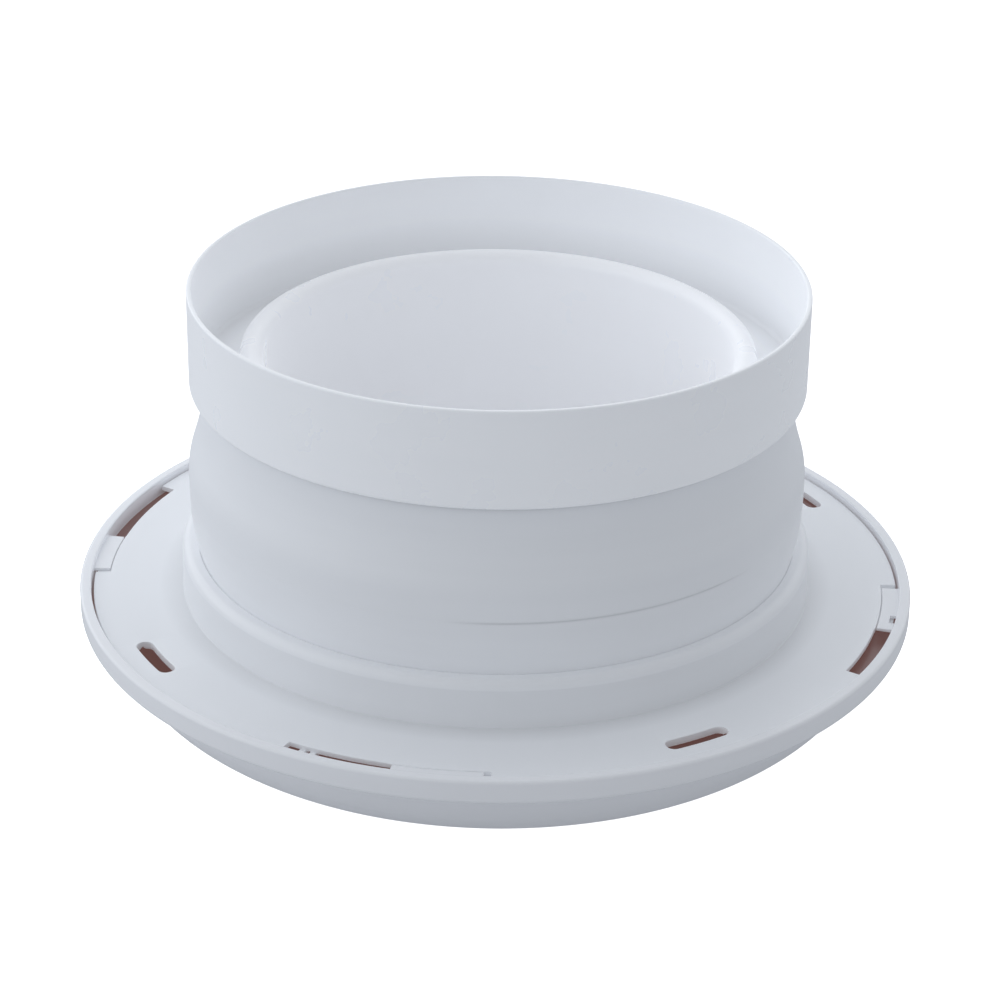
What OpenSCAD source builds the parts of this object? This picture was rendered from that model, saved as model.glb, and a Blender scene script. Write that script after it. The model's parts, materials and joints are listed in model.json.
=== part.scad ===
// Round duct vent with a twist-off cover, lying on its face.
// The origin is on the resting plane, on the axis of the duct, and +Z points up the duct.
// Everything is a turned moulding, so most parts are one profile swept round the axis.

/* [Duct spigot] */
// Outside diameter of the band that the duct slides over
spigot_d = 148; // [146:0.5:150]
// Height of the spigot band
spigot_h = 23.9; // [20:0.1:30]
// Wall of the spigot band
spigot_wall = 1.2; // [1:0.1:2]
// Thickness of the shelf inside the foot of the band
shelf_t = 1.8; // [1.5:0.1:2.5]
// Depth of the ring that plugs into the neck under the shelf
plug_depth = 6; // [4:0.5:8]

/* [Neck] */
// Height of the top of the neck above the back of the plate
neck_top = 52.2; // [51.5:0.1:53]
// Radius of the neck just under the spigot
neck_top_r = 70.6; // [70:0.1:71]
// Largest radius of the neck, along its short land
land_r = 74.65; // [74:0.05:75]
// Height of the upper end of the land above the plate
land_top = 33.5; // [32:0.1:35]
// Height of the mould line, where the neck starts to tuck in
mould_line = 25.9; // [25:0.1:27]
// Step at the mould line
mould_step = 0.12; // [0.05:0.01:0.2]
// Wall of the neck
neck_wall = 2; // [1.5:0.1:2.5]

/* [Mounting plate] */
// Radius of the plate
plate_r = 98.9; // [98.7:0.05:99]
// Thickness of the plate
plate_t = 1.2; // [1.1:0.1:1.3]
// Outer radius of the pedestal under the neck
pedestal_r = 76.9; // [76.5:0.1:77.5]
// Height of the pedestal
pedestal_h = 12; // [11:0.1:13]
// Radius of the socket in the pedestal
socket_r = 73; // [72.9:0.05:73.1]
// Circle that the screw slots lie on, as a radius
slot_circle_r = 91.8; // [90:0.1:92]
// Width of a screw slot
slot_w = 4; // [3.5:0.1:4.4]
// Length of a screw slot as an angle between its end centres
slot_angle = 7.6; // [5:0.1:10]

/* [Inner tube] */
// Bore of the inner tube, as a radius
tube_r = 56.3; // [56:0.1:56.6]
// Wall of the inner tube
tube_wall = 1.8; // [1.5:0.1:2]
// Outer radius of the rolled lip
lip_r = 61.8; // [61.5:0.1:62]
// Height of the lip above the back of the plate
lip_top = 62.3; // [60:0.1:64]

/* [Front cover] */
// Height of the back of the plate above the resting plane
face_depth = 24; // [23.5:0.1:25]
// Outer radius of the rim
rim_r = 102.2; // [101.8:0.1:103]
// Inner radius of the rim
rim_inner_r = 99.5; // [99.4:0.05:99.7]
// How far the rim stands above the back of the plate
rim_rise = 1.5; // [0.5:0.1:2]
// Radius of the dome where it leaves the rim
dome_r = 95.5; // [95:0.1:96]
// Radius of the lowest ring, which the vent rests on
crown_r = 74; // [73:0.1:75]
// Radius of the throat
throat_r = 53.5; // [53.2:0.1:53.8]
// Height of the top of the throat skirt above the resting plane
throat_top = 38; // [36:0.5:40]
// Wall of the cover
cover_wall = 2; // [1.6:0.1:2.2]

/* [Centre disc] */
// Radius of the disc
disc_r = 58.8; // [57:0.2:59]
// Bulge of the front of the disc
disc_bulge = 3.2; // [2:0.2:3.4]
// Travel of the disc from closed to open
disc_travel = 12; // [8:0.5:14]
// Radius of the threaded spindle
spindle_r = 6; // [5:0.5:7]

/* [Hidden] */
$fn = 128;

white = [0.86, 0.87, 0.9];
cool_white = [0.83, 0.85, 0.89];
steps = 12;
gap = 0.3;
fit_gap = 0.1;
run_gap = 0.06;

spigot_r = spigot_d / 2;
band_foot = neck_top + 1.1;
shelf_top = neck_top + shelf_t;
band_top = band_foot + spigot_h;
neck_foot_r = socket_r - fit_gap;
tuck_in = land_r - mould_step - neck_foot_r;
tube_outer_r = tube_r + tube_wall;
boss_h = 8;
ledge_t = 1.3;
ledge_top = 0.1 - plate_t;
notch_r = 95.1;
hook_t = 0.8;
recess_r = notch_r + 0.1;
hook_r = recess_r + gap;
web_top = face_depth - plate_t - ledge_t - gap;
web_t = 1.8;
dome_h = 20;
bell_h = 22;
skirt_r = throat_r + cover_wall;
disc_front = 1.4;
disc_edge = disc_front + disc_bulge;
hub_foot = 28;
hub_top = 40;
bridge_arms = 3;
cap_foot = hub_top + disc_travel + gap;
cap_h = 4;
spindle_foot = 7;
// Each bayonet station is keyed: where its window starts, the window's width and the hook's
// width, in degrees counted anticlockwise from +X.
stations = [[61, 16, 12.6], [152.5, 17.5, 10.5], [241.5, 14.9, 12.3], [329.9, 13.8, 12.6]];
slot_start = 30;
key_ribs = [243.15, 244.75];

// Points along an oval arc about c, with half-widths a and b, from angle t0 to t1.
function oval(c, a, b, t0, t1, n = steps) =
    [for (i = [0 : n]) let (t = t0 + (t1 - t0) * i / n) [c[0] + a * cos(t), c[1] + b * sin(t)]];

// The same for a round arc of radius r.
function round_arc(c, r, t0, t1, n = 6) = oval(c, r, r, t0, t1, n);

// Neck radius on the flare, from the land (u = 0) up to the spigot (u = 1).
function flare_r(u, shrink) = neck_top_r + (land_r - neck_top_r) * pow(1 - u, 1.6) - shrink;

// Neck radius on the tuck, from the mould line (u = 0) down to the pedestal (u = 1).
function tuck_r(u, shrink) = land_r - mould_step - tuck_in * pow(u, 2.5) - shrink;

// A part of a ring, r1 to r2 and z1 to z2, from angle a1 over a sweep.
module ring_part(r1, r2, z1, z2, a1, sweep) {
    rotate([0, 0, a1])
        rotate_extrude(angle = sweep)
            translate([r1, z1])
                square([r2 - r1, z2 - z1]);
}

// One curved slot with round ends, as a cutter: two long arcs joined by two half-rounds.
module curved_slot(middle) {
    half = slot_angle / 2;
    end_1 = slot_circle_r * [cos(half), sin(half)];
    end_2 = slot_circle_r * [cos(half), -sin(half)];
    rotate([0, 0, middle])
        translate([0, 0, -plate_t - 1])
            linear_extrude(plate_t + 2)
                polygon(concat(
                    round_arc([0, 0], slot_circle_r + slot_w / 2, -half, half, 5),
                    round_arc(end_1, slot_w / 2, half + 15, half + 165, 9),
                    round_arc([0, 0], slot_circle_r - slot_w / 2, half, -half, 5),
                    round_arc(end_2, slot_w / 2, 195 - half, 345 - half, 9)));
}

// Back plate: a thin flange, with a hollow pedestal that the neck stands in.
module plate_body() {
    fillet = 0.9;
    shoulder_r = 2.2;
    shoulder_h = 2.4;
    edge = 0.3;
    lead_in = 0.3;
    wall = 1.8;
    rotate_extrude()
        polygon(concat(
            // Underside.
            [[tube_outer_r + fit_gap, -plate_t], [plate_r, -plate_t], [plate_r, -edge],
             [plate_r - edge, 0]],
            // Top, from the flange over the pedestal into the socket and up the boss of the tube.
            round_arc([pedestal_r + fillet, fillet], fillet, 270, 180),
            oval([pedestal_r - shoulder_r, pedestal_h - shoulder_h], shoulder_r, shoulder_h, 0, 90, 10),
            [[socket_r + lead_in, pedestal_h], [socket_r, pedestal_h - lead_in], [socket_r, 0],
             [tube_outer_r + wall, 0], [tube_outer_r + wall, boss_h],
             [tube_outer_r + fit_gap, boss_h]]));
}

module mounting_plate() {
    rib_count = 12;
    rib_t = 1.5;
    ledge_lag = 2.5;
    color(white)
    translate([0, 0, face_depth]) {
        difference() {
            plate_body();
            for (i = [0 : 3])
                curved_slot(slot_start + 90 * i);
            // Windows that the hooks of the cover drop through, and recesses that they turn into.
            for (s = stations) {
                ring_part(notch_r, plate_r + 1, -plate_t - 1, 1, s[0], s[1]);
                ring_part(recess_r, plate_r + 1, -plate_t - 1, 1, s[0] + s[1] - 1, s[2] + 2.2);
            }
        }
        // Sunk ledges that the hooks slide over.
        for (s = stations)
            ring_part(notch_r - 1.5, plate_r - 0.2, -plate_t - ledge_t, ledge_top,
                      s[0] + s[1] + ledge_lag, s[2]);
        // Two thin ribs across one window key the cover to the plate.
        for (a = key_ribs)
            ring_part(notch_r - 1.2, plate_r - 0.5, -plate_t - ledge_t + 0.2, ledge_top, a, 1);
        // Stiffening ribs in the closed chamber under the neck.
        for (i = [0 : rib_count - 1])
            rotate([0, 0, 360 / rib_count * (i + 0.5)])
                translate([tube_outer_r + 1, -rib_t / 2, -0.1])
                    cube([neck_foot_r - neck_wall - gap - tube_outer_r - 1, rib_t, 5]);
    }
}

// Neck: flares down from the spigot to a short land, then tucks in to its foot.
module neck_sleeve() {
    flare = [for (i = [0 : steps]) let (u = 1 - i / steps)
             [flare_r(u, 0), land_top + (neck_top - land_top) * u]];
    tuck_h = mould_line - pedestal_h;
    tuck = [for (i = [0 : steps]) let (u = i / steps) [tuck_r(u, 0), mould_line - tuck_h * u]];
    outside = concat(flare, [[land_r + 0.05, mould_line]], tuck, [[neck_foot_r, 0]]);
    inside = concat(
        [[neck_foot_r - neck_wall, 0]],
        [for (i = [0 : steps]) let (u = 1 - i / steps)
         [tuck_r(u, neck_wall), mould_line - tuck_h * u]],
        [for (i = [0 : steps]) let (u = i / steps)
         [flare_r(u, neck_wall), land_top + (neck_top - land_top) * u]]);
    color(cool_white)
    translate([0, 0, face_depth])
        rotate_extrude()
            polygon(concat(outside, inside));
}

// Spigot: a thin band on a shelf, with a ring below that plugs into the neck.
module duct_collar() {
    band_inner = spigot_r - spigot_wall;
    plug_r = neck_top_r - neck_wall - fit_gap;
    ease = 0.35;
    foot_ease = 1;
    color(white)
    translate([0, 0, face_depth])
        rotate_extrude()
            polygon(concat(
                [[lip_r + gap, neck_top], [plug_r - 1.6, neck_top], [plug_r - 1.6, neck_top - plug_depth],
                 [plug_r - 0.5, neck_top - plug_depth], [plug_r, neck_top - plug_depth + 1],
                 [plug_r, neck_top], [neck_top_r + 0.2, neck_top], [neck_top_r + 0.9, band_foot]],
                round_arc([spigot_r - foot_ease, band_foot + foot_ease], foot_ease, 270, 360),
                round_arc([spigot_r - ease, band_top - ease], ease, 0, 90),
                round_arc([band_inner + ease, band_top - ease], ease, 90, 180),
                [[band_inner, shelf_top + 1]],
                round_arc([band_inner - 1, shelf_top + 1], 1, 0, -90),
                [[lip_r + gap, shelf_top]]));
}

// Inner tube: a smooth bore whose top rolls outwards into a broad lip.
module inner_tube() {
    roll = (lip_r - tube_r) / 2;
    skirt_foot = neck_top - 2;
    color(white)
    translate([0, 0, face_depth])
        rotate_extrude()
            polygon(concat(
                [[tube_r, -plate_t - 1.4], [tube_outer_r + 3, -plate_t - 1.4],
                 [tube_outer_r + 3, -plate_t], [tube_outer_r, -plate_t]],
                [[tube_outer_r, lip_top - roll]],
                round_arc([tube_r + roll, lip_top - roll], roll - tube_wall, 180, 0, 8),
                [[lip_r - tube_wall, skirt_foot], [lip_r, skirt_foot]],
                round_arc([tube_r + roll, lip_top - roll], roll, 0, 180, steps)));
}

// Cover: rim, domed face and bell mouth are one shell, with four hooks inside the rim.
module front_cover() {
    rim_top = face_depth + rim_rise;
    rim_ease = 0.8;
    rim_foot = web_top - web_t;
    rim_round = 1.4;
    dome_c = [crown_r, dome_h];
    bell_c = [crown_r, bell_h];
    inner_reach = dome_r - crown_r - cover_wall;
    hook_neck_r = 97.9;
    root_angle = asin((dome_h - rim_foot + 1.2) / dome_h);
    color(white) {
        rotate_extrude()
            polygon(concat(
                // Outside, from the top of the rim down to the crown.
                [[rim_inner_r, rim_top]],
                round_arc([rim_r - rim_ease, rim_top - rim_ease], rim_ease, 90, 0),
                round_arc([rim_r - rim_round, rim_foot + rim_round], rim_round, 0, -90),
                round_arc([dome_r + 1.1, rim_foot - 1.2], 1.2, 90, 180, 4),
                oval(dome_c, dome_r - crown_r, dome_h, -root_angle - 1, -90, 20),
                // Bell mouth, from the crown up into the throat.
                oval(bell_c, crown_r - throat_r, bell_h, -92, -180, 20),
                [[throat_r, throat_top], [skirt_r, throat_top]],
                // Back of the shell.
                oval(bell_c, crown_r - skirt_r, bell_h - cover_wall, -180, -90, 16),
                oval(dome_c, inner_reach, dome_h - cover_wall, -88, -4, 16),
                [[crown_r + inner_reach, web_top - 0.5], [crown_r + inner_reach + 0.5, web_top],
                 [rim_inner_r, web_top]]));
        // Hooks that lie over the ledges of the plate when the cover is locked. One is notched at
        // its root, next to the tip.
        for (s = stations) {
            notch = s == stations[3] ? 4.2 : 0;
            start = s[0] + s[1] + 0.2;
            ring_part(hook_r, hook_neck_r, face_depth - hook_t, face_depth, start, s[2]);
            ring_part(hook_neck_r - 0.1, rim_inner_r + 0.5, face_depth - hook_t, face_depth,
                      start + notch, s[2] - notch);
            if (notch > 0)
                ring_part(hook_neck_r - 0.1, rim_inner_r - gap, face_depth - hook_t, face_depth,
                          start, notch / 2);
        }
    }
}

// Bridge: a ring that drops into the throat, with three arms to a threaded hub.
module disc_bridge() {
    ring_r = throat_r - fit_gap;
    ring_wall = 2;
    flange_t = 1.5;
    arm_t = 2.4;
    hub_r = spindle_r + 4;
    inner = ring_r - ring_wall;
    color(cool_white)
    difference() {
        union() {
            rotate_extrude()
                polygon([[inner, throat_top - 8], [ring_r - 0.4, throat_top - 8],
                         [ring_r, throat_top - 7], [ring_r, throat_top],
                         [skirt_r - 0.2, throat_top], [skirt_r - 0.2, throat_top + flange_t],
                         [inner + 0.5, throat_top + flange_t], [inner, throat_top + 1]]);
            translate([0, 0, hub_foot])
                cylinder(r = hub_r, h = hub_top - hub_foot);
            // Arms with a gently arched underside.
            for (i = [0 : bridge_arms - 1])
                rotate([0, 0, 30 + 360 / bridge_arms * i])
                    rotate([90, 0, 0])
                        translate([0, 0, -arm_t / 2])
                            linear_extrude(arm_t)
                                polygon(concat(
                                    [[hub_r - 1, hub_top - 1.5], [hub_r - 1, hub_foot + 1]],
                                    oval([inner + 0.5, hub_foot + 1], inner + 0.5 - hub_r, 4,
                                         180, 90, 10),
                                    [[inner + 0.5, throat_top - 0.5]]));
        }
        translate([0, 0, hub_foot - 20])
            cylinder(r = spindle_r + run_gap, h = 40);
    }
}

// Spindle: the rod that the disc hangs on.
module spindle() {
    color(cool_white)
        translate([0, 0, spindle_foot])
            cylinder(r = spindle_r, h = cap_foot + cap_h - 1.5 - spindle_foot);
}

// Cap on the end of the spindle, which stops the disc from being unscrewed too far.
module stop_cap() {
    cap_r = spindle_r + 3;
    color(white)
    translate([0, 0, cap_foot])
        rotate_extrude()
            polygon(concat([[spindle_r, 0], [cap_r, 0]],
                           round_arc([cap_r - 1.2, cap_h - 1.2], 1.2, 0, 90),
                           [[0, cap_h], [0, cap_h - 1.5], [spindle_r, cap_h - 1.5]]));
}

// Disc: a shallow bulging front, with an edge that follows the bell mouth and a hub behind.
module centre_disc() {
    bulge_r = (pow(disc_r - 2, 2) + pow(disc_bulge, 2)) / (2 * disc_bulge);
    edge_angle = asin((disc_r - 2) / bulge_r);
    hub_r = spindle_r + 3;
    hub_h = 9;
    centre = [0, disc_front + bulge_r];
    wall = 2;
    edge_round = 1.4;
    color(white)
        rotate_extrude()
            polygon(concat(
                [[0, disc_front]],
                round_arc(centre, bulge_r, -90 + edge_angle / 16, -90 + edge_angle, 15),
                round_arc([disc_r - edge_round, disc_edge + edge_round], edge_round, -60, 20),
                [[disc_r - 3.6, disc_edge + 5.8], [disc_r - 5.4, disc_edge + 5.8],
                 [disc_r - 3.6, disc_edge + 2.6]],
                round_arc(centre, bulge_r - wall, -90 + edge_angle - 0.2, -88.8, 14),
                [[hub_r, disc_front + wall + 0.8], [hub_r, spindle_foot + hub_h - 1],
                 [hub_r - 1, spindle_foot + hub_h], [spindle_r + run_gap, spindle_foot + hub_h],
                 [spindle_r + run_gap, spindle_foot - 0.3], [0, spindle_foot - 0.3]]));
}

mounting_plate();
neck_sleeve();
duct_collar();
inner_tube();
front_cover();
disc_bridge();
spindle();
stop_cap();
centre_disc();
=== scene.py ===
import json
import math

import bmesh
import bpy
import numpy as np
from mathutils import Matrix, Vector


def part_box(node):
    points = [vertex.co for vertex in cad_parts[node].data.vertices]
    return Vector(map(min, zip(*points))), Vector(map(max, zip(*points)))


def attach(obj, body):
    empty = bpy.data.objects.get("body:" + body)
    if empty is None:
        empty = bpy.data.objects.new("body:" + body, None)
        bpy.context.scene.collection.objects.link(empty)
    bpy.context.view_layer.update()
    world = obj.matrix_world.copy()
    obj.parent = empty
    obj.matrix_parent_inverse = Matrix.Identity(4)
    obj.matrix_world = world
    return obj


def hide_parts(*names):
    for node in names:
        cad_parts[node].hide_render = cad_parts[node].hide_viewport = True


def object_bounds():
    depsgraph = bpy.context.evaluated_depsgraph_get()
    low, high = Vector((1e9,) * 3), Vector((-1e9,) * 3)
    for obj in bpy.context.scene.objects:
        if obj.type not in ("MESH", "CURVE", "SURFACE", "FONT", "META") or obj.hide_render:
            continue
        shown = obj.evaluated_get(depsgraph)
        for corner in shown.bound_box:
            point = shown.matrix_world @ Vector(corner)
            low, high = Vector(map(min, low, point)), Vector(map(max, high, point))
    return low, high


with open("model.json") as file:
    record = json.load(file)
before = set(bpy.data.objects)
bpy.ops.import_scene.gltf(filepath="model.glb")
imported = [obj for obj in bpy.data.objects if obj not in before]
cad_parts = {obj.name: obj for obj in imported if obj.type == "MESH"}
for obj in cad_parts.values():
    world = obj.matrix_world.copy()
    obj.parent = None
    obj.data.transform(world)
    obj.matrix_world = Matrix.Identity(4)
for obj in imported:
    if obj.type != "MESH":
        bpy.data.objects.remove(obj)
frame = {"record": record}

cad_low, cad_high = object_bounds()

# Viewpoint: a long lens looks down on the vent from 26 degrees while the vent lies on its face
# with its duct end up. Every distance follows from the radius of the duct spigot.
spigot_low, spigot_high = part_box("duct_collar")
spigot_r = (spigot_high.x - spigot_low.x) / 2
plate_back = 0.024
camera_tilt = math.radians(26.134)
camera_roll = math.radians(0.810)
camera_distance = 9.9927 * spigot_r
camera_target = Vector((0.0117 * spigot_r, 0, plate_back + 0.2674 * spigot_r))
camera_data = bpy.data.cameras.new("camera")
camera_data.sensor_width = 36
camera_data.lens = 108.55
camera = bpy.data.objects.new("camera", camera_data)
bpy.context.scene.collection.objects.link(camera)
look_back = Vector((0, -math.cos(camera_tilt), math.sin(camera_tilt)))
level_right = Vector((1, 0, 0))
level_up = Vector((0, math.sin(camera_tilt), math.cos(camera_tilt)))
roll_right = level_right * math.cos(camera_roll) + level_up * math.sin(camera_roll)
roll_up = level_up * math.cos(camera_roll) - level_right * math.sin(camera_roll)
camera_turn = Matrix((roll_right, roll_up, look_back)).transposed().to_4x4()
camera.matrix_world = Matrix.Translation(camera_target + look_back * camera_distance) @ camera_turn
bpy.context.scene.camera = camera

# Stage: a plain white tabletop in a light tent. The tent is a soft sky with a panel on each side:
# the panels on the left and behind are the brightest, and the one in front is dim.
floor_z = cad_low[2]
floor_half = 6
corner_ways = ((-1, -1), (1, -1), (1, 1), (-1, 1))
floor_corners = [(x * floor_half, y * floor_half, floor_z) for x, y in corner_ways]
floor_mesh = bpy.data.meshes.new("floor")
floor_mesh.from_pydata(floor_corners, [], [(0, 1, 2, 3)])
floor = bpy.data.objects.new("floor", floor_mesh)
bpy.context.scene.collection.objects.link(floor)


def math_node(tree, operation, first, second, third=None):
    """One math node. Each value is a number or another node's output."""
    node = tree.nodes.new("ShaderNodeMath")
    node.operation = operation
    for socket, value in zip(node.inputs, (first, second, third)):
        if isinstance(value, (int, float)):
            socket.default_value = value
        elif value is not None:
            tree.links.new(value, socket)
    return node.outputs["Value"]


floor_paint = bpy.data.materials.new("floor_paint")
floor_paint.use_nodes = True
floor_tree = floor_paint.node_tree
floor_skin = floor_tree.nodes["Principled BSDF"]
floor_skin.inputs["Base Color"].default_value = (0.8, 0.8, 0.8, 1)
floor_skin.inputs["Roughness"].default_value = 0.9
floor_skin.inputs["Emission Color"].default_value = (1, 1, 1, 1)
floor_skin.inputs["Emission Strength"].default_value = 0.95
table_bounce = floor_tree.nodes.new("ShaderNodeBsdfDiffuse")
table_bounce.inputs["Color"].default_value = (0.40, 0.41, 0.43, 1)
table_glow = floor_tree.nodes.new("ShaderNodeEmission")
table_glow.inputs["Color"].default_value = (0.90, 0.94, 1.0, 1)
table_glow.inputs["Strength"].default_value = 0.165
table_lit = floor_tree.nodes.new("ShaderNodeAddShader")
floor_ray = floor_tree.nodes.new("ShaderNodeLightPath")
floor_mix = floor_tree.nodes.new("ShaderNodeMixShader")
floor_tree.links.new(table_bounce.outputs["BSDF"], table_lit.inputs[0])
floor_tree.links.new(table_glow.outputs["Emission"], table_lit.inputs[1])
floor_tree.links.new(floor_ray.outputs["Is Camera Ray"], floor_mix.inputs["Fac"])
floor_tree.links.new(table_lit.outputs["Shader"], floor_mix.inputs[1])
floor_tree.links.new(floor_skin.outputs["BSDF"], floor_mix.inputs[2])
# Seen from underneath the tabletop is clear glass, so that the face of the vent can be looked at.
floor_side = floor_tree.nodes.new("ShaderNodeNewGeometry")
seen_from_under = math_node(floor_tree, "MULTIPLY", floor_side.outputs["Backfacing"],
                            floor_ray.outputs["Is Camera Ray"])
floor_glass = floor_tree.nodes.new("ShaderNodeBsdfTransparent")
floor_either = floor_tree.nodes.new("ShaderNodeMixShader")
floor_tree.links.new(seen_from_under, floor_either.inputs["Fac"])
floor_tree.links.new(floor_mix.outputs["Shader"], floor_either.inputs[1])
floor_tree.links.new(floor_glass.outputs["BSDF"], floor_either.inputs[2])
floor_out = floor_tree.nodes["Material Output"]
floor_tree.links.new(floor_either.outputs["Shader"], floor_out.inputs["Surface"])
floor_mesh.materials.append(floor_paint)

world = bpy.data.worlds.new("studio")
bpy.context.scene.world = world
world.use_nodes = True
sky_tree = world.node_tree
sky_way = sky_tree.nodes.new("ShaderNodeTexCoord")
sky_glow = 0
# Each panel: the way to it and its brightness.
panels = [((0, 0, 1), 0.22), ((-1, 0, 0), 1.18), ((1, 0, 0), 0.47), ((0, 1, 0), 1.09),
          ((0, -1, 0), 0.20)]
for way, bright in panels:
    facing = sky_tree.nodes.new("ShaderNodeVectorMath")
    facing.operation = "DOT_PRODUCT"
    facing.inputs[1].default_value = way
    sky_tree.links.new(sky_way.outputs["Generated"], facing.inputs[0])
    panel_share = math_node(sky_tree, "MAXIMUM", facing.outputs["Value"], 0)
    sky_glow = math_node(sky_tree, "MULTIPLY_ADD", panel_share, bright, sky_glow)
sky_tree.nodes["Background"].inputs["Color"].default_value = (0.915, 0.95, 1.0, 1)
sky_tree.links.new(sky_glow, sky_tree.nodes["Background"].inputs["Strength"])
bpy.context.scene.view_settings.view_transform = "Standard"

# Mounting plate: the flange that is screwed to the ceiling, moulded in white ABS with a pedestal
# that the neck stands in. Four curved slots take the screws, and windows and recesses in its edge
# take the hooks of the cover.
# Sizes from here on are in millimetres and degrees, with heights from the tabletop.
mm = 1000
plate_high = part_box("mounting_plate")[1]
plate_r = plate_high.x * mm
plate_z = plate_back * mm
plate_under = plate_z - 1.2
pedestal_r, pedestal_z = 76.9, plate_high.z * mm
shoulder_wide, shoulder_high = 2.2, 2.4
socket_r = 73.0
boss_in_r, boss_out_r, boss_high = 58.2, 59.9, 8
window_wall_r, recess_wall_r = 95.1, 95.2
ledge_r, ledge_thick, ledge_gap = 93.6, 1.3, 2.5
key_rib_r, key_rib_thick, key_rib_starts = 93.9, 1.1, (243.15, 244.75)
rib_count, rib_in_r, rib_out_r, rib_high, rib_half_angle = 12, 59.1, 70.6, 4.9, 0.65
slot_r, slot_half_width, slot_half_angle = 91.8, 2.0, 3.8
slot_middles = np.array([30, 120, 210, 300])
slot_collar_deep, window_lip_deep, window_lip_wide, recess_gap = 0.7, 0.1, 1.2, 1.2
# One row for each bayonet station: start of its window, width of the window and of the hook.
stations = np.array([[61, 16, 12.6], [152.5, 17.5, 10.5], [241.5, 14.9, 12.3], [329.9, 13.8, 12.6]])


def oval(centre, wide, high, start, end, steps):
    """Profile rows (radius, height, 0) along the oval centre + (wide cos t, high sin t)."""
    t = np.radians(np.linspace(start, end, steps + 1))
    return np.stack([centre[0] + wide * np.cos(t), centre[1] + high * np.sin(t), 0 * t], 1)


def rounded(corners, steps=6):
    """Closed profile through corners (radius, height, rounding), anticlockwise. A rounded corner
    becomes the arc that touches both of its sides. The third column returned is +1 on an outer
    round, -1 on an inner round and 0 elsewhere; the finish turns it into wear on outer rounds and
    painted shade on inner ones."""
    corners = np.vstack([np.atleast_2d(c) for c in corners]).astype(float)
    rows = []
    for before, here, after in zip(np.roll(corners, 1, 0), corners, np.roll(corners, -1, 0)):
        if here[2] == 0:
            rows.append(here[None] * [1, 1, 0])
            continue
        back = (before - here)[:2] / np.linalg.norm((before - here)[:2])
        ahead = (after - here)[:2] / np.linalg.norm((after - here)[:2])
        middle = (back + ahead) / np.linalg.norm(back + ahead)
        half = math.acos(back @ middle)
        side = back - (back @ middle) * middle
        side /= np.linalg.norm(side)
        t = np.linspace(math.pi / 2 - half, half - math.pi / 2, steps + 1)[:, None]
        arc = here[:2] + here[2] * (middle / math.sin(half) - np.cos(t) * middle + np.sin(t) * side)
        outer = np.sign(back[1] * ahead[0] - back[0] * ahead[1])
        rows.append(np.hstack([arc, np.full_like(t, outer)]))
    return np.vstack(rows)


def turned(profile, angles):
    """Grid of a profile turned round the axis: point (i, j) lies at angle i, at the radius and
    height of profile row j."""
    a = np.radians(np.asarray(angles, float))[:, None]
    radius, height, wear_and_shade = profile[..., 0], profile[..., 1], profile[..., 2]
    x, y = radius * np.cos(a), radius * np.sin(a)
    points = np.stack(np.broadcast_arrays(x, y, height + 0 * a), -1)
    return {"points": points, "wear_and_shade": np.broadcast_to(wear_and_shade, points.shape[:2])}


def bent_bar(r1, r2, z1, z2, start, end, ease=0.2):
    """Grid of a bar bent round the axis: its eased rectangular profile is carried from start to
    end, drawn in at both ends by quarter-rounds and closed there on its middle."""
    profile = rounded([(r1, z1, ease), (r2, z1, ease), (r2, z2, ease), (r1, z2, ease)], 4)
    t = np.linspace(0, math.pi / 2, 5)
    step = np.degrees(ease / r2) * (1 - np.cos(t))
    draw_in = ease * (1 - np.sin(t))
    between = np.linspace(start, end, 26)[1:-1]
    angles = np.concatenate([[start], start + step, between, (end - step)[::-1], [end]])
    to_middle = [r2 - r1 + z2 - z1]
    inset = np.concatenate([to_middle, draw_in, 0 * between, draw_in[::-1], to_middle])[:, None]
    middle = [(r1 + r2) / 2, (z1 + z2) / 2]
    low = np.minimum(np.array([r1, z1]) + inset, middle)
    high = np.maximum(np.array([r2, z2]) - inset, middle)
    section = np.clip(profile[None, :, :2], low[:, None], high[:, None])
    wear_and_shade = np.broadcast_to(profile[:, 2], section.shape[:2])
    grid = turned(np.concatenate([section, wear_and_shade[..., None]], -1), angles)
    grid["keep"] = np.repeat(np.arange(len(angles)) < len(angles) - 1, len(profile))
    return grid


def wall(radius, low, high, ease, facing=1, steps=4):
    """Profile rows of an upright wall at radius[i] whose ends are quarter-rounds of radius ease[i]:
    upwards where it faces outwards, and downwards where it faces the axis."""
    t = np.linspace(0, math.pi / 2, steps + 1)
    radius, ease = radius[:, None], ease[:, None]
    foot_r, top_r = ease * (1 - np.sin(t)), ease * (1 - np.cos(t))
    r = np.hstack([radius - facing * foot_r, radius - facing * top_r])
    z = np.hstack([low + ease * (1 - np.cos(t)), high - ease * (1 - np.sin(t))])
    rows = np.stack([r, z, np.ones_like(r) * np.minimum(ease * 5, 1)], -1)
    return rows if facing > 0 else rows[:, ::-1]


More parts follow.
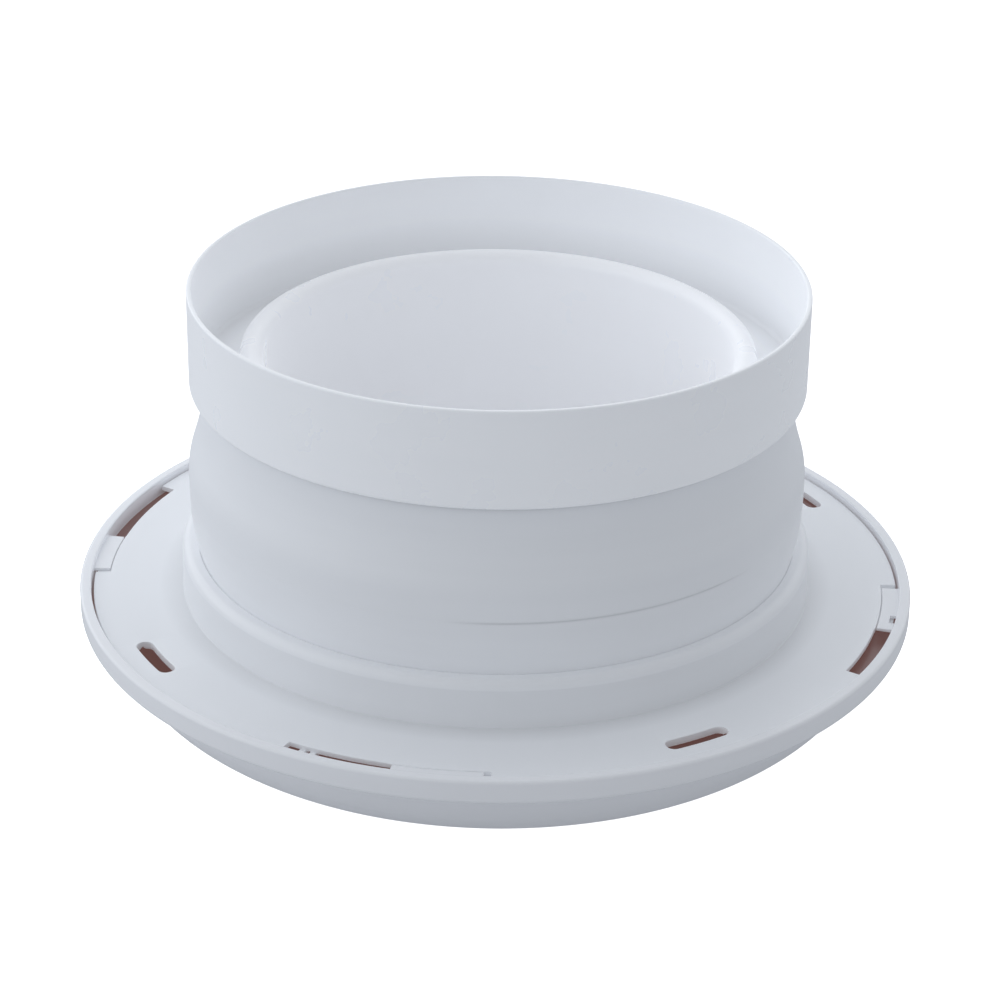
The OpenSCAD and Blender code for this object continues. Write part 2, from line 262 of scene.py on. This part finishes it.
def piece(name, node, grids, finish):
    """Mesh of one or more grids in millimetres, each closed on itself both ways. Points that fall
    together are welded, which closes the poles. The piece stands for a CAD node and moves with it."""
    points, faces, wear_and_shade, deep, count = [], [], [], [], 0
    for grid in grids:
        turns, rows = grid["points"].shape[:2]
        i, j = np.meshgrid(np.arange(turns), np.arange(rows), indexing="ij")
        i2, j2 = (i + 1) % turns, (j + 1) % rows
        quads = np.stack([i * rows + j, i2 * rows + j, i2 * rows + j2, i * rows + j2], -1)
        quads = quads.reshape(-1, 4)[grid.get("keep", slice(None))] + count
        points.append(grid["points"].reshape(-1, 3) / mm)
        wear_and_shade.append(grid["wear_and_shade"].reshape(-1))
        deep.append(np.broadcast_to(grid.get("deep", 0), (turns, rows)).reshape(-1))
        faces.append(quads)
        count += turns * rows
    mesh = bpy.data.meshes.new(name)
    mesh.from_pydata(np.concatenate(points).tolist(), [], np.concatenate(faces).tolist())
    for label, values in (("wear_and_shade", wear_and_shade), ("deep", deep)):
        layer = mesh.attributes.new(label, "FLOAT", "POINT")
        layer.data.foreach_set("value", np.concatenate(values).astype(np.float32))
    welder = bmesh.new()
    welder.from_mesh(mesh)
    bmesh.ops.remove_doubles(welder, verts=welder.verts, dist=2e-7)
    welder.to_mesh(mesh)
    welder.free()
    mesh.shade_smooth()
    mesh.set_sharp_from_angle(angle=math.radians(38))
    mesh.materials.append(finish)
    made = bpy.data.objects.new(name, mesh)
    bpy.context.scene.collection.objects.link(made)
    even = made.modifiers.new("even_normals", "WEIGHTED_NORMAL")
    even.keep_sharp = True
    body = next(b for b, nodes in frame["record"]["behaviour"]["bodies"].items() if node in nodes)
    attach(made, body)
    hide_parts(node)


def noise(tree, scale, detail, source):
    """Noise texture on a vector output, with its size as a number of lumps for each metre."""
    texture = tree.nodes.new("ShaderNodeTexNoise")
    texture.inputs["Scale"].default_value = scale
    texture.inputs["Detail"].default_value = detail
    tree.links.new(source, texture.inputs["Vector"])
    return texture.outputs["Fac"]


def make_moulded_skin():
    """Node group of a moulded ABS surface. Shade is its lightness: slow drift in the melt, faint
    flow streaks round the axis, painted shade in inner corners and creases, slightly lighter
    rubbed edges and a few specks. Roughness is higher in matt patches and lower on rubbed edges.
    Height is the fine spark-eroded grain of the mould over a slow sink and swell."""
    tree = bpy.data.node_groups.new("moulded_skin", "ShaderNodeTree")
    tree.interface.new_socket("Position", in_out="INPUT", socket_type="NodeSocketVector")
    for label, value in (("Wear and Shade", 0.0), ("Base Roughness", 0.36), ("Grain", 1.0)):
        socket = tree.interface.new_socket(label, in_out="INPUT", socket_type="NodeSocketFloat")
        socket.default_value = value
    for label in ("Shade", "Roughness", "Height"):
        tree.interface.new_socket(label, in_out="OUTPUT", socket_type="NodeSocketFloat")
    given = tree.nodes.new("NodeGroupInput")
    result = tree.nodes.new("NodeGroupOutput")
    place = given.outputs["Position"]
    streak_map = tree.nodes.new("ShaderNodeMapping")
    streak_map.inputs["Scale"].default_value = (0.25, 0.25, 4)
    tree.links.new(place, streak_map.inputs["Vector"])
    drift = noise(tree, 14, 2, place)
    streak = noise(tree, 60, 3, streak_map.outputs["Vector"])
    patch = noise(tree, 75, 4, place)
    speck = noise(tree, 900, 1, place)
    rub = math_node(tree, "MAXIMUM", given.outputs["Wear and Shade"], 0.0)
    # Painted shade: the negative part of the wear input darkens inner corners, creases and the pedestal
    # wall.
    painted_shade = math_node(tree, "MAXIMUM", math_node(tree, "MULTIPLY", given.outputs["Wear and Shade"], -1.0), 0.0)
    shade = math_node(tree, "MULTIPLY_ADD", drift, 0.07, 0.965)
    shade = math_node(tree, "MULTIPLY_ADD", streak, 0.03, math_node(tree, "SUBTRACT", shade, 0.015))
    shade = math_node(tree, "MULTIPLY_ADD", painted_shade, -0.12, shade)
    shade = math_node(tree, "MULTIPLY_ADD", rub, 0.015, shade)
    spot = math_node(tree, "GREATER_THAN", speck, 0.9)
    shade = math_node(tree, "MULTIPLY_ADD", spot, -0.16, shade)
    least_rough = math_node(tree, "SUBTRACT", given.outputs["Base Roughness"], 0.11)
    rough = math_node(tree, "MULTIPLY_ADD", patch, 0.22, least_rough)
    rough = math_node(tree, "MULTIPLY_ADD", rub, math_node(tree, "MULTIPLY", patch, -0.16), rough)
    grain = noise(tree, 3200, 2, place)
    swell = noise(tree, 45, 2, place)
    grain = math_node(tree, "MULTIPLY", grain, given.outputs["Grain"])
    height = math_node(tree, "MULTIPLY", grain, 0.000012)
    height = math_node(tree, "MULTIPLY_ADD", swell, 0.00010, height)
    tree.links.new(shade, result.inputs["Shade"])
    tree.links.new(rough, result.inputs["Roughness"])
    tree.links.new(height, result.inputs["Height"])
    return tree


moulded_skin = make_moulded_skin()


def moulded_abs(name, colour, roughness, grain, painted_glow, deep_shade_colour=None, deep_painted_glow=None):
    """Finish of a white ABS moulding: colour times the shade of moulded_skin, with its roughness
    and its grain as bump. Its emission is painted light: a faint even glow that stands in for the
    light the milky plastic passes on inside its walls. The two deep arguments paint the hidden
    inside of the cover: their colour is painted shade, a dark warm tone, and their glow is painted
    light that stands in for the light reaching it through the walls."""
    finish = bpy.data.materials.new(name)
    finish.use_nodes = True
    tree = finish.node_tree
    skin = tree.nodes["Principled BSDF"]
    skin.inputs["IOR"].default_value = 1.53
    # Painted light: a faint even glow on every moulding.
    skin.inputs["Emission Strength"].default_value = painted_glow
    place = tree.nodes.new("ShaderNodeTexCoord")
    # Per-point attribute: above zero it is wear on rubbed edges, below zero it is painted shade.
    wear_and_shade = tree.nodes.new("ShaderNodeAttribute")
    wear_and_shade.attribute_name = "wear_and_shade"
    surface = tree.nodes.new("ShaderNodeGroup")
    surface.node_tree = moulded_skin
    surface.inputs["Base Roughness"].default_value = roughness
    surface.inputs["Grain"].default_value = grain
    tree.links.new(place.outputs["Object"], surface.inputs["Position"])
    tree.links.new(wear_and_shade.outputs["Fac"], surface.inputs["Wear and Shade"])
    tint = tree.nodes.new("ShaderNodeMix")
    tint.data_type = "RGBA"
    tint.blend_type = "MULTIPLY"
    tint.inputs["Factor"].default_value = 1
    tint.inputs["A"].default_value = (*colour, 1)
    tree.links.new(surface.outputs["Shade"], tint.inputs["B"])
    shown = lit = tint.outputs["Result"]
    # Painted shade and painted glow on the hidden inside of the cover, where the deep attribute is 1.
    if deep_shade_colour:
        deep = tree.nodes.new("ShaderNodeAttribute")
        deep.attribute_name = "deep"
        warm = tree.nodes.new("ShaderNodeMix")
        warm.data_type = "RGBA"
        warm.inputs["B"].default_value = (*deep_shade_colour, 1)
        tree.links.new(deep.outputs["Fac"], warm.inputs["Factor"])
        tree.links.new(shown, warm.inputs["A"])
        glow = tree.nodes.new("ShaderNodeMix")
        glow.data_type = "RGBA"
        glow.inputs["B"].default_value = (*(c / painted_glow for c in deep_painted_glow), 1)
        tree.links.new(deep.outputs["Fac"], glow.inputs["Factor"])
        tree.links.new(shown, glow.inputs["A"])
        shown, lit = warm.outputs["Result"], glow.outputs["Result"]
    bump = tree.nodes.new("ShaderNodeBump")
    bump.inputs["Strength"].default_value = 0.6
    bump.inputs["Distance"].default_value = 1.0
    tree.links.new(surface.outputs["Height"], bump.inputs["Height"])
    tree.links.new(shown, skin.inputs["Base Color"])
    tree.links.new(lit, skin.inputs["Emission Color"])
    tree.links.new(surface.outputs["Roughness"], skin.inputs["Roughness"])
    tree.links.new(bump.outputs["Normal"], skin.inputs["Normal"])
    return finish


def around(marks, spread=0.14):
    """Angles round the plate: one each 0.8 degrees, with 9 more across each edge in marks."""
    fine = (np.asarray(marks)[:, None] + np.linspace(-spread, spread, 9)).reshape(-1) % 360
    return np.unique(np.round(np.concatenate([np.arange(0, 360, 0.8), fine]), 4))


window_start, window_end = stations[:, 0], stations[:, 0] + stations[:, 1]
recess_end = window_end + stations[:, 2] + recess_gap
slot_end = np.degrees(slot_half_width / slot_r) * np.cos(np.linspace(0, np.pi / 2, 12))
slot_ends = np.concatenate([slot_half_angle + slot_end, -slot_half_angle - slot_end])
slot_marks = (slot_middles[:, None] + slot_ends).reshape(-1)
station_angles = around(np.concatenate([window_start, window_end, recess_end]))
plate_angles = np.unique(np.round(np.concatenate([station_angles, slot_marks]), 4))


def within(angles, start, end, soft=0.12):
    """1 between start and end and 0 outside them, with smooth steps as wide as soft."""
    inside = np.minimum((angles - start) / soft, (end - angles) / soft) + 0.5
    inside = np.clip(inside, 0, 1)
    return inside * inside * (3 - 2 * inside)


in_window = np.max([within(plate_angles, a, b) for a, b in zip(window_start, window_end)], 0)
in_recess = np.max([within(plate_angles, a, b) for a, b in zip(window_end - 1, recess_end)], 0)
window_depth, recess_depth = plate_r - window_wall_r, plate_r - recess_wall_r
edge_r = plate_r - np.maximum(in_window * window_depth, in_recess * recess_depth)
off_slot = np.min(np.abs(plate_angles[:, None] - slot_middles), 1)
past_end = np.radians(np.maximum(off_slot - slot_half_angle, 0)) * slot_r
slot_open = np.sqrt(np.maximum(slot_half_width ** 2 - past_end ** 2, 0))
slot_open[slot_open < 0.05] = 0
slot_ease = np.minimum(slot_open * 0.5, 0.22)
edge_ease = np.full_like(plate_angles, 0.25)

shoulder_centre = (pedestal_r - shoulder_wide, pedestal_z - shoulder_high)
shoulder = oval(shoulder_centre, shoulder_wide, shoulder_high, 0, 90, 12)
plate_top = rounded([(pedestal_r + 6, plate_z, 0), (pedestal_r, plate_z, 0.35), shoulder,
                     (socket_r, pedestal_z, 0.3), (socket_r, plate_z, 0.3), (boss_out_r, plate_z, 0.3),
                     (boss_out_r, plate_z + boss_high, 0.3), (boss_in_r, plate_z + boss_high, 0.3),
                     (boss_in_r, plate_under, 0)])
# The upright wall of the pedestal carries painted shade: it is toned a shade darker than the rest of the
# plate.
on_pedestal_wall = (abs(plate_top[:, 0] - pedestal_r) < 0.01) & (plate_top[:, 1] > plate_z + 0.3)
plate_top[on_pedestal_wall, 2] = -0.55
plate_top = np.broadcast_to(plate_top, (len(plate_angles), *plate_top.shape))
# A low collar under the plate stiffens each slot, and a slight lip runs along each window.
collar_grows = np.minimum(slot_open / 0.6, 1)
collar_foot = plate_under - slot_collar_deep * collar_grows
lip_foot = plate_under - window_lip_deep * in_window


def ring_row(radius, height):
    """One profile row whose radius, and its height where that isn't one number, go with the angle."""
    radius, height = np.broadcast_arrays(radius, height)
    return np.stack([radius, height, 0 * radius], -1)[:, None]


slot_inner_wall = wall(slot_r - slot_open, collar_foot[:, None], plate_z, slot_ease)
slot_outer_wall = wall(slot_r + slot_open, collar_foot[:, None], plate_z, slot_ease, facing=-1)
edge_wall = wall(edge_r, lip_foot[:, None], plate_z, edge_ease)
inner_back = slot_r - slot_open - collar_grows
outer_back = slot_r + slot_open + collar_grows
lip_back = edge_r - window_lip_wide * in_window
inner_rows = [slot_inner_wall, plate_top, ring_row(inner_back, plate_under),
              ring_row(inner_back, collar_foot)]
outer_rows = [slot_outer_wall, ring_row(outer_back, collar_foot), ring_row(outer_back, plate_under),
              ring_row(lip_back, plate_under), ring_row(lip_back, lip_foot), edge_wall]
inner_ring = turned(np.concatenate(inner_rows, 1), plate_angles)
outer_ring = turned(np.concatenate(outer_rows, 1), plate_angles)
closed_slot = (slot_open == 0) & (np.roll(slot_open, -1) == 0)
for ring in (inner_ring, outer_ring):
    on_wall = np.arange(ring["points"].shape[1]) < slot_inner_wall.shape[1] - 1
    ring["keep"] = ~(closed_slot[:, None] & on_wall[None, :]).reshape(-1)
plate_parts = [inner_ring, outer_ring]
# Ledges under the hooks, ribs in the keyed window and ribs inside the pedestal all sink a tenth
# into the plate.
sunk = 0.1
for start, width, hook in stations:
    ledge_start = start + width + ledge_gap
    plate_parts.append(bent_bar(ledge_r, plate_r - 0.2, plate_under - ledge_thick, plate_under + sunk,
                                ledge_start, ledge_start + hook))
for start in key_rib_starts:
    plate_parts.append(bent_bar(key_rib_r, plate_r - 0.5, plate_under - key_rib_thick, plate_under + sunk,
                                start, start + 1, 0.15))
for middle in np.arange(rib_count) * 360 / rib_count + 15:
    plate_parts.append(bent_bar(rib_in_r, rib_out_r, plate_z - sunk, plate_z + rib_high,
                                middle - rib_half_angle, middle + rib_half_angle))
plate_abs = moulded_abs("plate_abs", (0.845, 0.86, 0.885), 0.40, 1.0, 0.06)
piece("mounting_plate_skin", "mounting_plate", plate_parts, plate_abs)

# Neck: a bulging sleeve in white ABS that stands in the socket of the plate. It was moulded in two
# halves that meet at a fine line round the end of its short land.
neck_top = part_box("neck_sleeve")[1].z * mm
neck_angles = np.arange(0, 360, 0.9)
mould_line, land_top, land_r, neck_top_r, neck_wall = 49.9, 57.5, 74.7, 70.6, 2.0
neck_foot_r = socket_r - 0.1
mould_step, shown_step, tuck_power, flare_power = 0.06, 0.14, 2.5, 1.6
neck_z = np.linspace(pedestal_z, neck_top, 110)


def neck_outside(z):
    """Radius of the neck at height z: a power curve that tucks in below the mould line, a straight
    land, and a power curve that flares in to the collar."""
    below = np.clip((mould_line - z) / (mould_line - pedestal_z), 0, 1)
    above = np.clip((z - land_top) / (neck_top - land_top), 0, 1)
    tuck = (land_r - mould_step - neck_foot_r) * below ** tuck_power + mould_step * (below > 0)
    flare = (land_r - neck_top_r) * (1 - (1 - above) ** flare_power)
    return land_r - tuck - flare


# The melt rounds the corner between land and flare: the radius there is its mean over 5 mm.
soft_corner = np.exp(-((neck_z - land_top) / 5.0) ** 4)
soft_r = np.mean([neck_outside(neck_z + shift) for shift in np.linspace(-2.5, 2.5, 11)], 0)
outside_r = neck_outside(neck_z) * (1 - soft_corner) + soft_r * soft_corner
outside = np.stack([outside_r, neck_z, 0 * neck_z], 1)
neck_profile = rounded([(neck_foot_r, plate_z, 0), outside, outside[::-1] - [neck_wall, 0, 0],
                        (neck_foot_r - neck_wall, plate_z, 0)])
neck_profile = np.broadcast_to(neck_profile, (len(neck_angles), *neck_profile.shape)).copy()
# The two halves meet almost flush. The step shows over a sixth of the turn only, where the lower
# half stands back by a further 0.14 mm.
step_shows = within(neck_angles, 266, 317, 12)
under_line = np.exp((np.minimum(neck_profile[0, :, 1], mould_line) - mould_line) / 3.0)
under_line *= (neck_profile[0, :, 1] <= mould_line) & (neck_profile[0, :, 0] > land_r - 1.5)
neck_profile[:, :, 0] -= shown_step * step_shows[:, None] * under_line
# Painted shade darkens the neck along the step and in the corner under the collar.
heights = neck_profile[0, :, 1]
step_shade = np.exp(-((heights - mould_line + 0.2) / 0.25) ** 2)
neck_profile[:, :, 2] -= 2.2 * step_shows[:, None] * step_shade
neck_profile[:, :, 2] -= 2.5 * np.exp((heights - neck_top) / 0.5)
neck_abs = moulded_abs("neck_abs", (0.84, 0.855, 0.88), 0.38, 0.8, 0.065)
piece("neck_sleeve_skin", "neck_sleeve", [turned(neck_profile, neck_angles)], neck_abs)

# Duct collar: the thin band that the duct slides over, in one moulding with the shelf inside its
# foot and the ring that plugs into the neck.
collar_top = spigot_high.z * mm
band_r, band_wall = spigot_r * mm, 1.2
shelf_low, shelf_high = neck_top, neck_top + 1.8
shelf_in_r = 62.1
plug_r, plug_wall, plug_foot = neck_top_r - 2.1, 1.6, neck_top - 6
foot_z = shelf_low + 1.1
collar_profile = rounded([(shelf_in_r, shelf_low, 0.2), (plug_r - plug_wall, shelf_low, 0.2),
                          (plug_r - plug_wall, plug_foot, 0.3), (plug_r, plug_foot, 0.8),
                          (plug_r, shelf_low, 0.15), (neck_top_r + 0.2, shelf_low, 0.2),
                          (neck_top_r + 0.9, foot_z, 0.3), (band_r, foot_z, 1.1),
                          (band_r, collar_top, 0.45), (band_r - band_wall, collar_top, 0.45),
                          (band_r - band_wall, shelf_high, 1.2), (shelf_in_r, shelf_high, 0.4)])
# The collar glows more than the plate: more painted light, to lighten the inside of its band.
collar_abs = moulded_abs("collar_abs", (0.845, 0.86, 0.885), 0.36, 0.7, 0.145)
piece("duct_collar_skin", "duct_collar", [turned(collar_profile, neck_angles)], collar_abs)

# Inner tube: the smooth bore that carries the air. Its top is rolled outwards into a broad
# polished lip, and a flange at its foot holds it in the plate.
tube_low, tube_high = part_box("inner_tube")
tube_foot = tube_low.z * mm
bore_r, tube_wall = 56.3, 1.8
tube_out_r = bore_r + tube_wall
flange_r = 61.1
skirt_in_r, skirt_out_r, skirt_foot = 60.0, 61.8, 74.2
lip_roll = 2.75
lip_centre = (bore_r + lip_roll, tube_high.z * mm - lip_roll)
lip_inside = oval(lip_centre, lip_roll - tube_wall, lip_roll - tube_wall, 180, 0, 10)
lip_outside = oval(lip_centre, lip_roll, lip_roll, 0, 180, 20)
tube_profile = rounded([(bore_r, tube_foot, 0.4), (flange_r, tube_foot, 0.3), (flange_r, plate_under, 0.2),
                        (tube_out_r, plate_under, 0), (tube_out_r, plate_z + 12, 0), lip_inside,
                        (skirt_in_r, skirt_foot, 0.2), (skirt_out_r, skirt_foot, 0.2), lip_outside,
                        (bore_r, 75, 0), (bore_r, 50, 0)])
# The tube glows most: painted light that lightens its bore.
tube_abs = moulded_abs("tube_abs", (0.86, 0.87, 0.895), 0.30, 0.4, 0.185)
piece("inner_tube_skin", "inner_tube", [turned(tube_profile, neck_angles)], tube_abs)

# Front cover: the domed ring that shows in the room, with its rim round the plate and its bell
# mouth into the throat. Four hooks inside the rim lock it onto the plate with a short turn.
rim_r, rim_in_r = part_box("front_cover")[1].x * mm, 99.5
rim_z, rim_foot = plate_z + 1.5, 19.4
dome, bell = (74, 20), (74, 22)
throat_r, throat_wall, throat_top = 53.5, 2, 38
web_z = 21.2
fillet_r = 1.2
fillet_centre = (96.6, rim_foot - fillet_r)
fillet_meets = math.degrees(math.asin((dome[1] - rim_foot + fillet_r) / dome[1]))
web_edge = [(94.0, web_z, 0), (93.5, web_z - 0.5, 0)]
dome_back, bell_back = oval(dome, 19.5, 18, -4, -88, 20), oval(bell, 18.5, 20, -90, -180, 18)
bell_front = oval(bell, 20.5, 22, -180, -92, 26)
dome_front = oval(dome, 21.5, 20, -90, -fillet_meets - 1, 30)
rim_fillet = oval(fillet_centre, fillet_r, fillet_r, 180, 90, 6)
cover_profile = rounded([*web_edge, dome_back, bell_back, (throat_r + throat_wall, throat_top, 0.2),
                         (throat_r, throat_top, 0.2), bell_front, dome_front, rim_fillet,
                         (rim_r, rim_foot, 1.4), (rim_r, rim_z, 0.8), (rim_in_r, rim_z, 0.35),
                         (rim_in_r, web_z, 0.2)], 8)
cover_angles = np.arange(0, 360, 0.8)
cover_grid = turned(cover_profile, cover_angles)
# The painted shade, a dark warm tone with a faint painted glow, covers the back of the dome and bell, and
# the web out to the rim.
back_count = len(web_edge) + len(dome_back) + len(bell_back) - 1
web_corner = 4
back_rows = np.zeros(len(cover_profile))
back_rows[:back_count] = 1
back_rows[-web_corner:] = 1
cover_grid["deep"] = back_rows[None, :]
cover_parts = [cover_grid]
# Each hook is a wide inner part and a root in the rim. The root of the last one is notched.
hook_low, hook_ease = plate_z - 0.8, 0.18
hook_in_r, hook_out_r, root_in_r, root_out_r, notch_out_r = 95.45, 97.9, 97.6, 100, 99.2
notched_station, notch_angle = 3, 4.2
for station, (start, width, hook) in enumerate(stations):
    tip = start + width + 0.2
    notch = notch_angle if station == notched_station else 0
    cover_parts.append(bent_bar(hook_in_r, hook_out_r, hook_low, plate_z, tip, tip + hook, hook_ease))
    cover_parts.append(bent_bar(root_in_r, root_out_r, hook_low, plate_z, tip + notch, tip + hook,
                                hook_ease))
    if notch:
        cover_parts.append(bent_bar(root_in_r, notch_out_r, hook_low, plate_z, tip, tip + notch / 2,
                                    hook_ease))
# Its last two arguments are the painted shade and the painted glow of the hidden inside.
cover_abs = moulded_abs("cover_abs", (0.845, 0.855, 0.88), 0.34, 0.6, 0.06,
                        deep_shade_colour=(0.045, 0.027, 0.025), deep_painted_glow=(0.095, 0.046, 0.041))
piece("front_cover_skin", "front_cover", cover_parts, cover_abs)

# Disc bridge: a ring that drops into the throat of the cover, with three arched arms that carry a
# threaded hub on the axis.
spindle_hole_r, hub_r, hub_low, hub_high = 6.08, 10, 28, 40
ring_in_r, ring_out_r, ring_low, ring_seat, ring_high, ring_flange_r = 51.4, 53.4, 30, 38, 39.5, 55.3
bridge_profile = rounded([(ring_in_r, ring_low, 0.3), (ring_out_r, ring_low, 0.5),
                          (ring_out_r, ring_seat, 0), (ring_flange_r, ring_seat, 0.2),
                          (ring_flange_r, ring_high, 0.4), (ring_in_r, ring_high, 0.5)])
hub_profile = rounded([(spindle_hole_r, hub_low, 0.4), (hub_r, hub_low, 0.6), (hub_r, hub_high, 0.6),
                       (spindle_hole_r, hub_high, 0.4)])
arm_start, arm_end, arm_half_thick, arm_steps = 8.8, 52.2, 1.2, 32


def arm_blade(angle):
    """Grid of one arm: an eased upright section carried outwards, whose underside follows a
    quarter of an oval and whose top falls by one millimetre."""
    along = np.linspace(arm_start, arm_end, arm_steps)
    arch = 29 + 4 * np.sqrt(np.clip(1 - ((51.9 - along) / 41.9) ** 2, 0, 1))
    top = 38.5 - (along - arm_start) / (arm_end - arm_start)
    across_end, ease = arm_half_thick, 0.35
    section = rounded([(-across_end, -1, ease), (across_end, -1, ease), (across_end, 1, ease),
                       (-across_end, 1, ease)], 4)
    closed_end = [0 * section[:, 0]]
    across = np.concatenate([closed_end, np.tile(section[:, 0], (arm_steps - 2, 1)), closed_end])
    height = arch[:, None] + (top - arch)[:, None] * (section[:, 1] + 1) / 2
    height[0], height[-1] = height[0].mean(), height[-1].mean()
    along = np.concatenate([[arm_start + 0.1], along[1:-1], [arm_end - 0.1]])[:, None]
    c, s = math.cos(math.radians(angle)), math.sin(math.radians(angle))
    points = np.stack([along * c + across * s, along * s - across * c, height], -1)
    keep = np.repeat(np.arange(arm_steps) < arm_steps - 1, len(section))
    return {"points": points, "wear_and_shade": np.broadcast_to(section[:, 2], height.shape), "keep": keep}


bridge_parts = [turned(bridge_profile, cover_angles), turned(hub_profile, np.arange(0, 360, 3))]
bridge_parts += [arm_blade(a) for a in (30, 150, 270)]
bridge_abs = moulded_abs("bridge_abs", (0.76, 0.77, 0.80), 0.42, 1.0, 0.05)
piece("disc_bridge_skin", "disc_bridge", bridge_parts, bridge_abs)

# Spindle: an acetal rod with a coarse rounded thread of 4 mm pitch, so that three turns of the disc
# open it by 12 mm.
spindle_foot, spindle_top, spindle_r, spindle_end_r = 7, 54.8, 5.98, 5.4
thread_low, thread_high, thread_pitch, thread_deep, run_out = 7.6, 54.2, 4, 0.85, 2
thread_angles = np.arange(0, 360, 5)
thread_z = np.linspace(thread_low, thread_high, 260)
phase = 2 * np.pi * thread_z[None, :] / thread_pitch - np.radians(thread_angles)[:, None]
groove = np.clip(0.5 - 1.1 * np.cos(phase), 0, 1)
groove = groove * groove * (3 - 2 * groove)
fade = np.clip(np.minimum(thread_z - thread_low, thread_high - thread_z) / run_out, 0, 1)
thread_r = spindle_r - thread_deep * groove * fade
flat = np.zeros((len(thread_angles), 1))
thread_r = np.hstack([flat, flat + spindle_end_r, thread_r, flat + spindle_end_r, flat])
thread_h = np.concatenate([[spindle_foot] * 2, thread_z, [spindle_top] * 2])
thread_h = np.broadcast_to(thread_h, thread_r.shape)
thread = np.stack([thread_r, thread_h, np.zeros_like(thread_r)], -1)
spindle_acetal = moulded_abs("spindle_acetal", (0.74, 0.75, 0.77), 0.28, 0.3, 0.05)
piece("spindle_skin", "spindle", [turned(thread, thread_angles)], spindle_acetal)

# Stop cap: a small button on the end of the spindle, which keeps the disc from coming right off.
cap_r, cap_low, cap_high, dimple_r = 9, 52.3, 56.3, 2.8
cap_profile = rounded([(0, spindle_top, 0), (6, spindle_top, 0.1), (6, cap_low, 0.1),
                       (cap_r, cap_low, 0.4), (cap_r, cap_high, 1.2), (dimple_r + 0.6, cap_high, 0.3),
                       (dimple_r, cap_high - 0.5, 0.3), (0, cap_high - 0.5, 0)])
cap_abs = moulded_abs("cap_abs", (0.78, 0.79, 0.82), 0.36, 0.6, 0.05)
piece("stop_cap_skin", "stop_cap", [turned(cap_profile, np.arange(0, 360, 4))], cap_abs)

# Centre disc: the shallow bulging disc in the throat that sets the air flow. Its hub is pressed on
# the foot of the spindle.
disc_low, disc_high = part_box("centre_disc")
disc_r, disc_wall = disc_high.x * mm, 2
disc_front, disc_bulge = disc_low.z * mm, 3.2
bulge_r = ((disc_r - 2) ** 2 + disc_bulge ** 2) / (2 * disc_bulge)
bulge_end = math.degrees(math.asin((disc_r - 2) / bulge_r))
bulge_centre = (0, disc_front + bulge_r)
disc_edge = disc_front + disc_bulge
edge_roll = 1.4
skirt_r, skirt_high = disc_r - 3.6, disc_edge + 5.8
disc_hub_r, disc_hub_high, hub_floor = 9, 16, 6.7
bulge_front = oval(bulge_centre, bulge_r, bulge_r, -90 + bulge_end / 30, -90 + bulge_end, 29)
bulge_back = oval(bulge_centre, bulge_r - disc_wall, bulge_r - disc_wall, -90 + bulge_end - 0.2, -88.8, 24)
disc_roll = oval((disc_r - edge_roll, disc_edge + edge_roll), edge_roll, edge_roll, -60, 20, 8)
disc_profile = rounded([(0, disc_front, 0), bulge_front, disc_roll, (skirt_r, skirt_high, 0.4),
                        (skirt_r - 1.8, skirt_high, 0.4), (skirt_r, disc_edge + 2.6, 0), bulge_back,
                        (disc_hub_r, disc_front + 2.8, 0.4), (disc_hub_r, disc_hub_high, 0.8),
                        (spindle_hole_r, disc_hub_high, 0.3), (spindle_hole_r, hub_floor, 0),
                        (0, hub_floor, 0)])
disc_abs = moulded_abs("disc_abs", (0.845, 0.855, 0.88), 0.33, 0.6, 0.06)
piece("centre_disc_skin", "centre_disc", [turned(disc_profile, cover_angles)], disc_abs)
